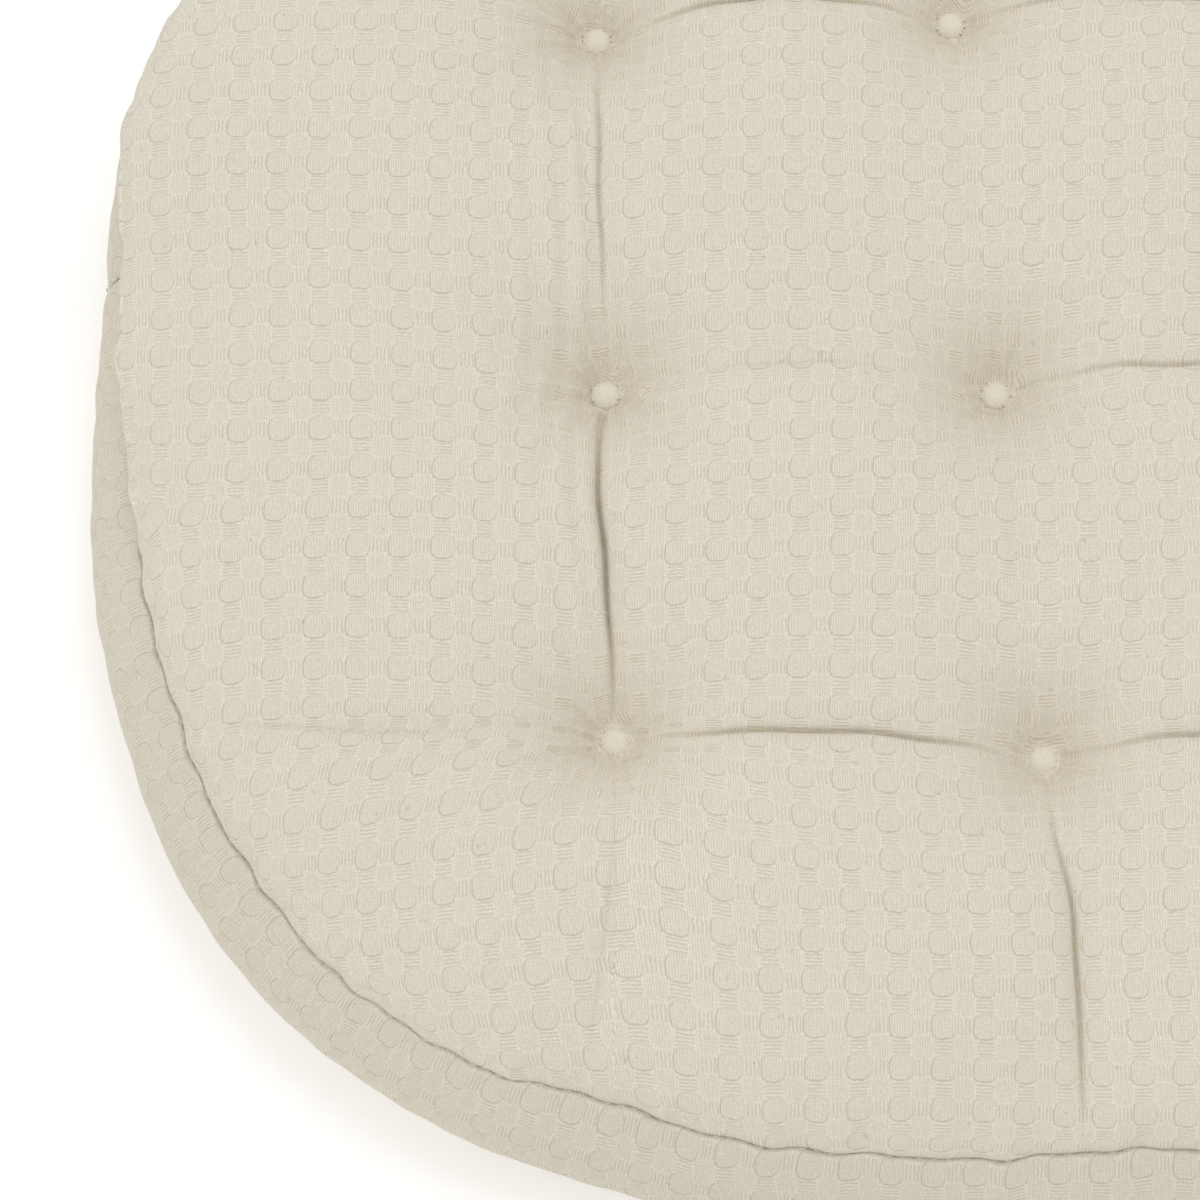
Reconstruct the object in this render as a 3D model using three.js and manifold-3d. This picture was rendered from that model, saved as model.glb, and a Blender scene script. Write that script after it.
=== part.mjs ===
// Tufted, boxed chair seat pad: a woven cotton cover with a side band, filled with wadding round a
// foam slab, and held flat by nine threads sewn right through it.
// Millimetres, +Z up. The underside rests on z = 0, the front edge faces -Y.

import * as THREE from 'three';
import { ParametricGeometry } from 'three/addons/geometries/ParametricGeometry.js';
import { mergeVertices } from 'three/addons/utils/BufferGeometryUtils.js';
import Module from 'manifold-3d';

const wasm = await Module();
wasm.setup();

// ---- driving dimensions ----

const PAD_WIDTH = 406; // across the side bands, at their widest
const PAD_DEPTH = 374; // front to rear, at the band's widest
const PAD_HEIGHT = 60; // floor to the top of the puffs
const OUTLINE_EXPONENT = 2.55; // 2 is an ellipse, larger is squarer

const CLOTH = 1.2; // thickness of the woven cover
const CLEARANCE = 0.3; // gap kept between pieces that touch
const TOP_SEAM_HEIGHT = 42; // floor to the seam between top panel and band
const SEAM_INSET = 12.5; // how far the seams lie inside the widest outline
const PUFF_RUN = 62; // distance over which the top panel rises from seam to crown

const FOAM_THICKNESS = 25;
const BOTTOM_WADDING_THICKNESS = 8;
const PINCHED_TOP_WADDING = 1.4; // what is left of the top wadding under a tuft
const PINCHED_BOTTOM_WADDING = 3;

const TUFT_DIAMETER = 6.8; // the ring of stitches
const TUFT_DOME = 1.8; // height of the sewn ring above the panel
const HOLLOW_RADIUS = 32; // radius of the dimple round a tuft, on top
const UNDER_HOLLOW_RADIUS = 17; // radius of the dimple round a tuft, underneath
const THREAD_BUNDLE_RADIUS = 1; // the threads that pass through the pad

const COLUMN_PITCH = 87; // left to middle column of tufts
const SIDE_ROW_PITCH = 83; // row spacing in the two outer columns
const MIDDLE_ROW_PITCH = 87; // row spacing in the middle column
const MIDDLE_ROW_Y = -2.8; // the middle row lies a little to the front of the centre
const SIDE_COLUMN_SPREAD = 2; // how much further out the rear outer tufts are than the middle ones
const MIDDLE_COLUMN_LEAN = 8; // how far the middle column shifts sideways from row to row

const SEWING_THREAD_RADIUS = 0.4;
const JOIN_Y = 28; // where the front and rear bands are joined, on both sides

// ---- facets ----

const OUTLINE_STEPS = 48;
const BAND_STEPS = 4;
const DIMPLE_SIDES = 12;
const DIMPLE_STEPS = 4;
const TUFT_SIDES = 10;
const HOLE_SIDES = 6;
const THREAD_SIDES = 5;
const JOIN_STEPS = 6;

// ---- derived ----

const BAND_BASE = CLOTH + CLEARANCE;
const WADDING_BASE = CLOTH + CLEARANCE;
const FOAM_BASE = WADDING_BASE + BOTTOM_WADDING_THICKNESS + CLEARANCE;
const FOAM_TOP = FOAM_BASE + FOAM_THICKNESS;
const TOP_WADDING_BASE = FOAM_TOP + CLEARANCE;
const TUFT_LEVEL = TOP_WADDING_BASE + PINCHED_TOP_WADDING + CLEARANCE + CLOTH;
const UNDER_TUFT_LEVEL = BOTTOM_WADDING_THICKNESS - PINCHED_BOTTOM_WADDING;
const DIMPLE_FLOOR_RADIUS = TUFT_DIAMETER / 2 + 2 * CLEARANCE;
const BEYOND = 5; // how far a cutting solid runs past what it cuts

// ---- outline and profiles ----

// A superellipse whose half-axes are the pad's half sizes less the inset.
function outlinePoint(turn, inset) {
  const angle = 2 * Math.PI * turn;
  const power = 2 / OUTLINE_EXPONENT;
  const cosine = Math.cos(angle);
  const sine = Math.sin(angle);
  const x = (PAD_WIDTH / 2 - inset) * Math.sign(cosine) * Math.abs(cosine) ** power;
  const y = (PAD_DEPTH / 2 - inset) * Math.sign(sine) * Math.abs(sine) ** power;
  return [x, y];
}

// Inset of the band's outer face at a height: an arc through both seams, widest half way up.
function bandInset(height) {
  const middle = (BAND_BASE + TOP_SEAM_HEIGHT) / 2;
  const reach = (TOP_SEAM_HEIGHT - BAND_BASE) / 2;
  const radius = (reach ** 2 + SEAM_INSET ** 2) / (2 * SEAM_INSET);
  const rise = Math.min(Math.abs(height - middle), reach);
  return radius - Math.sqrt(radius ** 2 - rise ** 2);
}

// Rings of the band's face from seam to seam, moved in by an offset.
function bandRings(offset) {
  const rings = [];
  for (let step = 0; step <= BAND_STEPS; step += 1) {
    const height = BAND_BASE + ((TOP_SEAM_HEIGHT - BAND_BASE) * step) / BAND_STEPS;
    rings.push([bandInset(height) + offset, height]);
  }
  return rings;
}

// Rings of the puffed top: a quarter of an ellipse from the seam to the crown, moved in by an offset.
function puffRings(offset) {
  const rise = PAD_HEIGHT - TOP_SEAM_HEIGHT;
  return [0, 0.05, 0.2, 0.5, 1].map((share) => {
    const height = TOP_SEAM_HEIGHT + rise * Math.sqrt(1 - (1 - share) ** 2);
    return [SEAM_INSET + PUFF_RUN * share + offset, height - offset];
  });
}

// ---- solids ----

function withoutSlivers(geometry) {
  const index = geometry.index.array;
  const kept = [];
  for (let i = 0; i < index.length; i += 3) {
    const [a, b, c] = [index[i], index[i + 1], index[i + 2]];
    if (a !== b && b !== c && c !== a) kept.push(a, b, c);
  }
  geometry.setIndex(kept);
  return geometry;
}

function toSolid(geometry) {
  geometry.deleteAttribute('normal');
  geometry.deleteAttribute('uv');
  const welded = withoutSlivers(mergeVertices(geometry, 1e-4));
  return new wasm.Manifold(
    new wasm.Mesh({
      numProp: 3,
      vertProperties: new Float32Array(welded.attributes.position.array),
      triVerts: new Uint32Array(welded.index.array),
    }),
  );
}

function toGeometry(solid) {
  const mesh = solid.getMesh();
  const geometry = new THREE.BufferGeometry();
  geometry.setAttribute('position', new THREE.BufferAttribute(mesh.vertProperties, 3));
  geometry.setIndex(new THREE.BufferAttribute(mesh.triVerts, 1));
  geometry.computeVertexNormals();
  return geometry;
}

// A solid with the pad's outline, through rings of [inset, height] listed upwards, flat at both ends.
function stackSolid(rings) {
  const low = rings[0][1];
  const high = rings[rings.length - 1][1];
  const stacks = rings.length + 1;
  const surface = (turn, share, target) => {
    const level = Math.round(share * stacks);
    if (level === 0) {
      target.set(0, 0, low);
    } else if (level === stacks) {
      target.set(0, 0, high);
    } else {
      const [inset, height] = rings[level - 1];
      const [x, y] = outlinePoint(turn % 1, inset);
      target.set(x, y, height);
    }
  };
  return toSolid(new ParametricGeometry(surface, OUTLINE_STEPS, stacks));
}

// A solid turned about a vertical axis, from a profile of [radius, height] listed upwards.
function turnedSolid(profile, sides) {
  const points = profile.map(([radius, height]) => new THREE.Vector2(radius, height));
  const geometry = new THREE.LatheGeometry(points, sides);
  geometry.rotateX(Math.PI / 2);
  return toSolid(geometry);
}

// Removes the same cutting solid at every tuft.
function cutAtTufts(solid, cutter) {
  return tuftPlaces().reduce((body, { x, y }) => body.subtract(cutter.translate([x, y, 0])), solid);
}

function withThreadHoles(solid) {
  const radius = THREAD_BUNDLE_RADIUS + CLEARANCE;
  const profile = [[0, -BEYOND], [radius, -BEYOND], [radius, PAD_HEIGHT], [0, PAD_HEIGHT]];
  return cutAtTufts(solid, turnedSolid(profile, HOLE_SIDES));
}

// A dimple: half a cosine wave from its flat floor out to its rim.
function dimpleProfile(floor, rim, radius) {
  const profile = [[0, floor]];
  for (let step = 0; step <= DIMPLE_STEPS; step += 1) {
    const share = step / DIMPLE_STEPS;
    const wave = (1 - Math.cos(Math.PI * share)) / 2;
    profile.push([
      DIMPLE_FLOOR_RADIUS + (radius - DIMPLE_FLOOR_RADIUS) * share,
      floor + (rim - floor) * wave,
    ]);
  }
  return profile;
}

// What a tuft presses out of the top, lowered by an offset.
function topHollow(offset) {
  const top = PAD_HEIGHT + BEYOND;
  const wall = dimpleProfile(TUFT_LEVEL - offset, PAD_HEIGHT - offset, HOLLOW_RADIUS);
  return turnedSolid([...wall, [HOLLOW_RADIUS, top], [0, top]], DIMPLE_SIDES);
}

// What a tuft presses out of the underside, raised by an offset.
function underHollow(offset) {
  const wall = dimpleProfile(UNDER_TUFT_LEVEL + offset, offset, UNDER_HOLLOW_RADIUS).reverse();
  return turnedSolid([[0, -BEYOND], [UNDER_HOLLOW_RADIUS, -BEYOND], ...wall], DIMPLE_SIDES);
}

// ---- tuft grid ----

function tuftPlaces() {
  const places = [];
  const rows = { rear: 1, middle: 0, front: -1 };
  const columns = { left: -1, middle: 0, right: 1 };
  for (const [rowName, row] of Object.entries(rows)) {
    for (const [columnName, column] of Object.entries(columns)) {
      const spread = COLUMN_PITCH + SIDE_COLUMN_SPREAD * row;
      const x = column === 0 ? -MIDDLE_COLUMN_LEAN * row : column * spread;
      const pitch = column === 0 ? MIDDLE_ROW_PITCH : SIDE_ROW_PITCH;
      const y = row === 0 ? MIDDLE_ROW_Y : row * pitch;
      places.push({ name: `${rowName}_${columnName}`, x, y });
    }
  }
  return places;
}

// ---- pieces ----

// The outer body less the inner one: below the seam only the floors of the dimples are left.
function topPanel() {
  const rim = TOP_SEAM_HEIGHT + CLEARANCE;
  const base = TUFT_LEVEL - BEYOND;
  const within = SEAM_INSET + 2 * CLOTH;
  const above = puffRings(0).filter(([, height]) => height > rim);
  const outer = stackSolid([[within, base], [within, rim], [SEAM_INSET, rim], ...above]);
  const inner = stackSolid([[SEAM_INSET + CLOTH, base - BEYOND], ...puffRings(CLOTH)]);
  const skin = cutAtTufts(outer, topHollow(0)).subtract(cutAtTufts(inner, topHollow(CLOTH)));
  return withThreadHoles(skin);
}

// One layer of the filling: what lies between two heights inside the cover, with its thread holes.
function fillingLayer(low, high) {
  const offset = CLOTH + CLEARANCE;
  const side = bandRings(offset).slice(0, -1);
  const inside = stackSolid([...side, ...puffRings(offset)]);
  const span = 2 * Math.max(PAD_WIDTH, PAD_DEPTH);
  const slab = new THREE.BoxGeometry(span, span, high - low);
  slab.translate(0, 0, (low + high) / 2);
  return withThreadHoles(inside.intersect(toSolid(slab)));
}

function topWadding() {
  const layer = fillingLayer(TOP_WADDING_BASE, PAD_HEIGHT + BEYOND);
  return cutAtTufts(layer, topHollow(CLOTH + CLEARANCE));
}

function foamCore() {
  return fillingLayer(FOAM_BASE, FOAM_TOP);
}

function bottomWadding() {
  const layer = fillingLayer(WADDING_BASE, WADDING_BASE + BOTTOM_WADDING_THICKNESS);
  return cutAtTufts(layer, underHollow(CLOTH + CLEARANCE));
}

function bottomPanel() {
  const layer = (offset, inset) => {
    const top = UNDER_TUFT_LEVEL + BEYOND;
    const rings = [[inset, offset], [inset, top]];
    return cutAtTufts(stackSolid(rings), underHollow(offset));
  };
  return withThreadHoles(layer(0, SEAM_INSET).subtract(layer(CLOTH, SEAM_INSET - BEYOND)));
}

// The side band as one ring, before it is parted at the joins.
function bandRing() {
  const high = TOP_SEAM_HEIGHT;
  const outer = stackSolid(bandRings(0));
  const middle = bandRings(CLOTH);
  const inner = stackSolid([
    [middle[0][0], BAND_BASE - BEYOND],
    ...middle,
    [middle[BAND_STEPS][0], high + BEYOND],
  ]);
  return outer.subtract(inner);
}

// The half of the band on one side of the joins: side -1 is the front, 1 the rear.
function bandHalf(side) {
  const span = 2 * Math.max(PAD_WIDTH, PAD_DEPTH);
  const box = new THREE.BoxGeometry(span, span, span);
  box.translate(0, JOIN_Y + side * (span / 2 + CLEARANCE / 2), 0);
  return bandRing().intersect(toSolid(box));
}

// A sewing thread that runs all the way round the pad.
function seamThread(inset, height) {
  const surface = (turn, share, target) => {
    const angle = -2 * Math.PI * (share % 1);
    const [x, y] = outlinePoint(turn % 1, inset + SEWING_THREAD_RADIUS * Math.cos(angle));
    target.set(x, y, height + SEWING_THREAD_RADIUS * Math.sin(angle));
  };
  return toSolid(new ParametricGeometry(surface, OUTLINE_STEPS, THREAD_SIDES));
}

// The thread up a band join, lying on the band: side -1 is the left, 1 the right.
function joinThread(side) {
  const margin = 3;
  const halfDepth = PAD_DEPTH / 2;
  const points = [];
  for (let step = 0; step <= JOIN_STEPS; step += 1) {
    const span = TOP_SEAM_HEIGHT - BAND_BASE - 2 * margin;
    const height = BAND_BASE + margin + (span * step) / JOIN_STEPS;
    const inset = bandInset(height) - 2 * CLEARANCE - SEWING_THREAD_RADIUS;
    const share = (1 - (JOIN_Y / (halfDepth - inset)) ** OUTLINE_EXPONENT) ** (1 / OUTLINE_EXPONENT);
    points.push(new THREE.Vector3(side * (PAD_WIDTH / 2 - inset) * share, JOIN_Y, height));
  }
  const section = new THREE.Shape();
  section.absarc(0, 0, SEWING_THREAD_RADIUS, 0, 2 * Math.PI);
  const path = new THREE.CatmullRomCurve3(points);
  const options = { steps: JOIN_STEPS, curveSegments: THREAD_SIDES, extrudePath: path };
  return toSolid(new THREE.ExtrudeGeometry(section, options));
}

// One tuft: a domed ring of stitches on each face and the threads between them.
function tuft() {
  const ring = TUFT_DIAMETER / 2;
  const low = UNDER_TUFT_LEVEL - CLEARANCE;
  const high = TUFT_LEVEL + CLEARANCE;
  const shoulder = 0.55;
  const domeAbove = (level, way) => [
    [ring, level + way * TUFT_DOME * 0.3],
    [ring * 0.8, level + way * TUFT_DOME * 0.8],
    [0, level + way * TUFT_DOME],
  ];
  return turnedSolid(
    [
      ...domeAbove(low, -1).reverse(),
      [ring * 0.9, low],
      [THREAD_BUNDLE_RADIUS, low],
      [THREAD_BUNDLE_RADIUS * shoulder, low + BEYOND],
      [THREAD_BUNDLE_RADIUS * shoulder, high - BEYOND],
      [THREAD_BUNDLE_RADIUS, high],
      [ring * 0.9, high],
      ...domeAbove(high, 1),
    ],
    TUFT_SIDES,
  );
}

// ---- assembly ----

const pad = new THREE.Group();

function addPiece(name, solid, color, roughness) {
  const material = new THREE.MeshStandardMaterial({ color, roughness, metalness: 0 });
  const mesh = new THREE.Mesh(toGeometry(solid), material);
  mesh.name = name;
  pad.add(mesh);
  return mesh;
}

const COVER_CREAM = 0xdad4c6;
const BAND_CREAM = 0xd1ccbf;
const THREAD_CREAM = 0xe2dccb;
const FOAM_YELLOW = 0xe9dcae;
const WADDING_WHITE = 0xf1f0ec;

addPiece('top_panel', topPanel(), COVER_CREAM, 0.95);
addPiece('front_band', bandHalf(-1), BAND_CREAM, 0.95);
addPiece('rear_band', bandHalf(1), BAND_CREAM, 0.95);
addPiece('bottom_panel', bottomPanel(), COVER_CREAM, 0.95);
addPiece('top_wadding', topWadding(), WADDING_WHITE, 1);
addPiece('foam_core', foamCore(), FOAM_YELLOW, 0.9);
addPiece('bottom_wadding', bottomWadding(), WADDING_WHITE, 1);

const threadInset = SEAM_INSET - CLEARANCE - SEWING_THREAD_RADIUS;
const topThreadHeight = TOP_SEAM_HEIGHT + CLEARANCE / 2 + CLEARANCE;
addPiece('top_seam_thread', seamThread(threadInset, topThreadHeight), THREAD_CREAM, 0.7);
addPiece('bottom_seam_thread', seamThread(threadInset, 2 * SEWING_THREAD_RADIUS), THREAD_CREAM, 0.7);
addPiece('left_join_thread', joinThread(-1), THREAD_CREAM, 0.7);
addPiece('right_join_thread', joinThread(1), THREAD_CREAM, 0.7);

for (const { name, x, y } of tuftPlaces()) {
  addPiece(`tuft_${name}`, tuft(), THREAD_CREAM, 0.8).position.set(x, y, 0);
}

export default pad;
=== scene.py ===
"""Tufted, boxed chair seat pad in waffle-woven cotton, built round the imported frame.

Lengths are in metres. Every surface is worked out with numpy on a grid, and each function says its formula in words.
"""

import math
from functools import partial

import bpy
import numpy as np
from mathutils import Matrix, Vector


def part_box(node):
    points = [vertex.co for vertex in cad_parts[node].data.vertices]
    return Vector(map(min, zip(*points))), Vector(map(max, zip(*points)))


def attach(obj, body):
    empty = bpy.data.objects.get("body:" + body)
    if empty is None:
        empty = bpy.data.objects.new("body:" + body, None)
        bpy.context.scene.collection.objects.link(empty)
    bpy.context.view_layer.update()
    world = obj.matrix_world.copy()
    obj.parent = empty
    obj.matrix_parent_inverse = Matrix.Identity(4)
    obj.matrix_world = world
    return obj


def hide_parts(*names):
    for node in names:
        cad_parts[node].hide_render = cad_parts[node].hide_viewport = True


bl_info = {
    "name": "Tufted seat pad",
    "version": (1, 0, 0),
    "blender": (4, 5, 0),
    "location": "View3D > Sidebar > Seat pad",
    "description": "Builds a tufted, boxed chair seat pad in waffle-woven cotton",
    "category": "Add Mesh",
}

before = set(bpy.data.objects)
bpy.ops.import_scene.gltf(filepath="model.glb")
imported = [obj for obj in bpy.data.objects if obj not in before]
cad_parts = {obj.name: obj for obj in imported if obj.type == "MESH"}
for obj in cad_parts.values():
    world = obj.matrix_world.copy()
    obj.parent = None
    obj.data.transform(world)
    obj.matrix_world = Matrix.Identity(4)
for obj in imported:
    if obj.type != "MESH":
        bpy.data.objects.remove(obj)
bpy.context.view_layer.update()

MM = 0.001
SIDES = ("front", "middle", "rear")
COLUMNS = ("left", "middle", "right")

# ---- sizes that the frame gives ----


def box(node):
    """Lowest and highest corners of a CAD node, as arrays."""
    low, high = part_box(node)
    return np.array(low, float), np.array(high, float)


BAND_LOW = np.minimum(box("front_band")[0], box("rear_band")[0])
BAND_HIGH = np.maximum(box("front_band")[1], box("rear_band")[1])
HALF_WIDTH, HALF_DEPTH = (BAND_HIGH - BAND_LOW)[:2] / 2
SEAM_INSET = HALF_WIDTH - (box("top_panel")[1][0] - box("top_panel")[0][0]) / 2
SEAM_HEIGHT = BAND_HIGH[2]
BAND_BASE = BAND_LOW[2]
CROWN_HEIGHT = box("top_panel")[1][2]
JOIN_Y = (box("front_band")[1][1] + box("rear_band")[0][1]) / 2
TUFTS = {(r, c): box(f"tuft_{r}_{c}") for r in SIDES for c in COLUMNS}
TUFT_BASE, TUFT_TOP = TUFTS["middle", "middle"]
TUFT_RADIUS = (TUFT_TOP[0] - TUFT_BASE[0]) / 2
TUFT_DOME = 1.8 * MM
TUFT_LEVEL = TUFT_TOP[2] - TUFT_DOME
UNDER_TUFT_LEVEL = TUFT_BASE[2] + TUFT_DOME
TUFT_PLACES = np.array([[sum(TUFTS[r, c])[:2] / 2 for c in COLUMNS] for r in SIDES])
TUFT_LIST = TUFT_PLACES.reshape(-1, 2)

# ---- shape of the outline ----

OUTLINE_EXPONENT = 2.55

# Where the tuft lines cross the cloth's grid, which runs from -1 to 1 both ways.
LINES = (-0.52, 0.0, 0.52)
GRID_LINES = (-1.0, *LINES, 1.0)
TUFT_SPACING = 87 * MM

# Lines each way in the even grids of the plan, of the flat cloth and of the top wadding.
EVEN_LINES, LIE_LINES, FILLING_LINES = 145, 113, 97

# Where each tuft line meets the seam: x along the front and rear, y along the left and right.
LINE_ENDS = {
    "front": (-96 * MM, 14 * MM, 94 * MM),
    "rear": (-92 * MM, -10 * MM, 92 * MM),
    "left": (-87 * MM, 20 * MM, 90 * MM),
    "right": (-86 * MM, 6 * MM, 88 * MM),
}
CORNER = (146 * MM, 134 * MM)  # where the grid's corners meet the outline, nearly

# How strongly the cloth is creased between tufts, front to rear along a column and left to right along a row.
# 0 is a faint dip, 1 a deep fold.
COLUMN_CREASES = {
    "left": (0.46, 0.90, 0.58, 0.35),
    "middle": (0.72, 0.34, 0.26, 0.45),
    "right": (0.40, 0.55, 0.70, 0.40),
}
ROW_CREASES = {
    "front": (0.46, 0.70, 0.68, 0.40),
    "middle": (0.02, 0.44, 0.60, 0.20),
    "rear": (0.15, 0.70, 0.68, 0.38),
}

# How far the rows of creases bow to the rear between tufts, and the front row to the front beside the side seams.
ROW_BOW = 2.2 * MM
OUTER_BOW = 4.5 * MM

# How far the left column's deepest crease bows to the left.
COLUMN_BOW = 2.3 * MM

# How far the middle column's crease steps to the right on its way to the front.
FRONT_JOG = 3.4 * MM

# How far to either side those two bends carry the grid with them, in its own measure.
BEND_REACH = 0.2

# How far the seam is drawn in where a tuft line meets it.
SEAM_PULL = {"front": (2.6, 1.2, 2.2), "rear": (1.8, 1.4, 2.0), "left": (1.6, 2.2, 1.2), "right": (1.6, 1.2, 1.4)}
PULL_REACH = 19 * MM

# Gathers along a seam: how often each wave goes round the outline, its phase and its size.
PUCKER_WAVES = ((61, 0.3, 0.40), (97, 1.1, 0.34), (149, 2.3, 0.30), (211, 0.2, 0.22), (37, 4.0, 0.30))

# How far the puffs roll out over the seam, at polar angles in degrees.
ROLL_AT = (
    (-180, 11.0), (-174, 7.0), (-166, 3.5), (-156, 2.2), (-140, 1.6), (-90, 1.2), (-40, 1.6), (-15, 4.0),
    (10, 10.0), (45, 11.0), (90, 9.0), (135, 10.0), (152, 13.5), (164, 14.5), (172, 11.5), (180, 11.0),
)

# Strength of the wrinkles beside the left column at places along it, from the front to the rear.
SIDE_FOLD_STRENGTHS = (
    (-1, LINES[0], -0.26, LINES[1], 0.3, LINES[2], 1),
    (0, 0.2, 0.8, 0.9, 1.2, 0.5, 0.1),
)

# ---- cloth, seams and stitches ----

CLOTH = 1.2 * MM
CROWN_SLACK = 0.6 * MM  # how far the crown stays below its node's top, as room for the weave and the wrinkles
TOP_SLIT_DEPTH = 1.5 * MM  # how far the top's edge turns down into the top seam
BAND_SLIT_DEPTH = 1.3 * MM  # how far the band's top edge turns down into it
BAND_ARC = 1.12  # length of the band's bulge over its height
STITCH_RADIUS = 0.24 * MM
STITCH_PITCH = 3.2 * MM
STITCH_LENGTH = 2.5 * MM
TUFT_STITCHES = 9


def length_property(name, description, default):
    return bpy.props.FloatProperty(name=name, description=description, default=default, unit="LENGTH")


def colour_property(name, description, default):
    return bpy.props.FloatVectorProperty(name=name, description=description, default=default, subtype="COLOR")


class PadShape(bpy.types.PropertyGroup):
    """Sizes of the padding that a user would change."""

    puff_run: length_property("Puff run", "Distance from the seam to the crown of the puffs", 50 * MM)
    crease_depth: length_property("Crease depth", "How far the deepest crease lies below the crown", 8.8 * MM)
    dimple_reach: length_property("Dimple reach", "How far a tuft's dimple spreads", 15 * MM)
    roll: bpy.props.FloatProperty(
        name="Roll", description="How much of its roll over the seam the top has",
        default=1.0, min=0.0, max=1.5,
    )
    fine_step: length_property("Fine step", "Grid step beside seams and creases", 0.28 * MM)
    coarse_step: length_property("Coarse step", "Grid step on the open cloth of the top", 0.74 * MM)


class PadWeave(bpy.types.PropertyGroup):
    """The waffle weave of the cover."""

    repeat: length_property("Repeat", "Length of one repeat of the weave", 9.0 * MM)
    relief: length_property("Relief", "Height of the domed cells above the grooves", 0.13 * MM)


class PadColours(bpy.types.PropertyGroup):
    """Colours of the pad's materials."""

    cover: colour_property("Cover", "Cream of the cover cloth", (0.70, 0.66, 0.575))
    # The band's colour is the cover's, darkened as painted shade for the bands' steep sides, which the lamps light
    # less; the cloth is the same.
    band: colour_property("Band", "Cream of the side bands, a little duller than the cover", (0.665, 0.62, 0.53))
    thread: colour_property("Thread", "Cream of the sewing thread", (0.79, 0.75, 0.65))
    foam: colour_property("Foam", "Yellow of the foam inside", (0.80, 0.68, 0.42))
    wadding: colour_property("Wadding", "White of the wadding inside", (0.85, 0.85, 0.82))
    floor: colour_property("Floor", "Pale studio floor", (0.97, 0.97, 0.97))


# ---- curves and grids ----


def bell(gap, reach, power=2):
    """1 where the gap is 0 and less away from it: exp(-(gap / reach)^power)."""
    return np.exp(-((gap / reach) ** power))


def unit(value):
    """The value held between 0 and 1."""
    return np.clip(value, 0, 1)


def ease(value):
    """Smooth step 3t^2 - 2t^3 of a value held between 0 and 1."""
    t = unit(value)
    return t * t * (3 - 2 * t)


def apart(plan, place):
    """Distance of each point from a place, or from the matching point of a line."""
    return np.linalg.norm(plan - place, axis=-1)


def spread(rows, columns, grid):
    """Values of a grid at new places, from the weights of its rows and of its columns."""
    return np.einsum("ia,jb,abk->ijk", rows, columns, grid, optimize=True)


def with_third(pairs, third):
    """A grid or row of pairs with a third value each, such as a height."""
    return np.concatenate([pairs, np.broadcast_to(third, pairs.shape[:-1])[..., None]], -1)


def outline_across(place, half, other):
    """The outline's other coordinate where one is given: other * (1 - |place / half|^n)^(1 / n)."""
    return other * (1 - abs(place / half) ** OUTLINE_EXPONENT) ** (1 / OUTLINE_EXPONENT)


def rim_point(angle, inset=0.0):
    """Superellipse |x/a|^n + |y/b|^n = 1 at a polar angle, moved in along its normal by the inset, and the normal."""
    n = OUTLINE_EXPONENT
    cosine, sine = np.cos(angle), np.sin(angle)
    radius = (np.abs(cosine / HALF_WIDTH) ** n + np.abs(sine / HALF_DEPTH) ** n) ** (-1 / n)
    x, y = radius * cosine, radius * sine
    slope_x = np.sign(x) * np.abs(x / HALF_WIDTH) ** (n - 1) / HALF_WIDTH
    slope_y = np.sign(y) * np.abs(y / HALF_DEPTH) ** (n - 1) / HALF_DEPTH
    length = np.hypot(slope_x, slope_y)
    normal = np.stack([slope_x / length, slope_y / length], -1)
    return np.stack([x, y], -1) - normal * np.asarray(inset)[..., None], normal


def rim_length_table(count=8001):
    """Polar angles from -pi to pi and the length of the widest outline up to each."""
    angles = np.linspace(-math.pi, math.pi, count)
    points, _ = rim_point(angles)
    steps = np.linalg.norm(np.diff(points, axis=0), axis=1)
    return angles, np.concatenate([[0.0], np.cumsum(steps)])


RIM_ANGLES, RIM_LENGTHS = rim_length_table()
RIM_LENGTH = RIM_LENGTHS[-1]


def along_rim(angle):
    """Length of outline between the far left point and a polar angle, anticlockwise seen from above."""
    wrapped = (np.asarray(angle) + math.pi) % math.tau - math.pi
    return np.interp(wrapped, RIM_ANGLES, RIM_LENGTHS)


def rim_turn(angle):
    """Length of outline as a turn from 0 to 2 pi, for waves that close round the outline."""
    return along_rim(angle) * math.tau / RIM_LENGTH


def angle_at(length):
    """Polar angle at a length of outline."""
    return np.interp(length % RIM_LENGTH, RIM_LENGTHS, RIM_ANGLES)


def line_end_angles():
    """Polar angles at which the tuft lines meet the outline, by side."""
    ends = {}
    for side, places in LINE_ENDS.items():
        sign = -1 if side in ("front", "left") else 1
        for place in places:
            if side in ("front", "rear"):
                angle = math.atan2(sign * outline_across(place, HALF_WIDTH, HALF_DEPTH), place)
            else:
                angle = math.atan2(place, sign * outline_across(place, HALF_DEPTH, HALF_WIDTH))
            ends.setdefault(side, []).append(angle)
    return ends


LINE_END_ANGLES = line_end_angles()
JOIN_X = outline_across(JOIN_Y, HALF_DEPTH, HALF_WIDTH)
JOIN_ANGLES = {"left": math.atan2(JOIN_Y, -JOIN_X), "right": math.atan2(JOIN_Y, JOIN_X)}


def seam_pull(angle):
    """Sum of Gaussian notches, one where each tuft line meets the seam, with four ripples added."""
    here = along_rim(angle)
    pull = np.zeros_like(here)
    for side, depths in SEAM_PULL.items():
        for depth, end in zip(depths, LINE_END_ANGLES[side]):
            gap = np.abs(here - along_rim(end))
            pull += depth * MM * bell(np.minimum(gap, RIM_LENGTH - gap), PULL_REACH)
    turn = rim_turn(angle)
    ripple = 0.5 * np.sin(11 * turn + 0.7) + 0.35 * np.sin(23 * turn) + 0.3 * np.sin(67 * turn + np.sin(9 * turn))
    return pull + (ripple + 0.22 * np.sin(109 * turn + 2 * np.sin(7 * turn))) * MM


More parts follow.
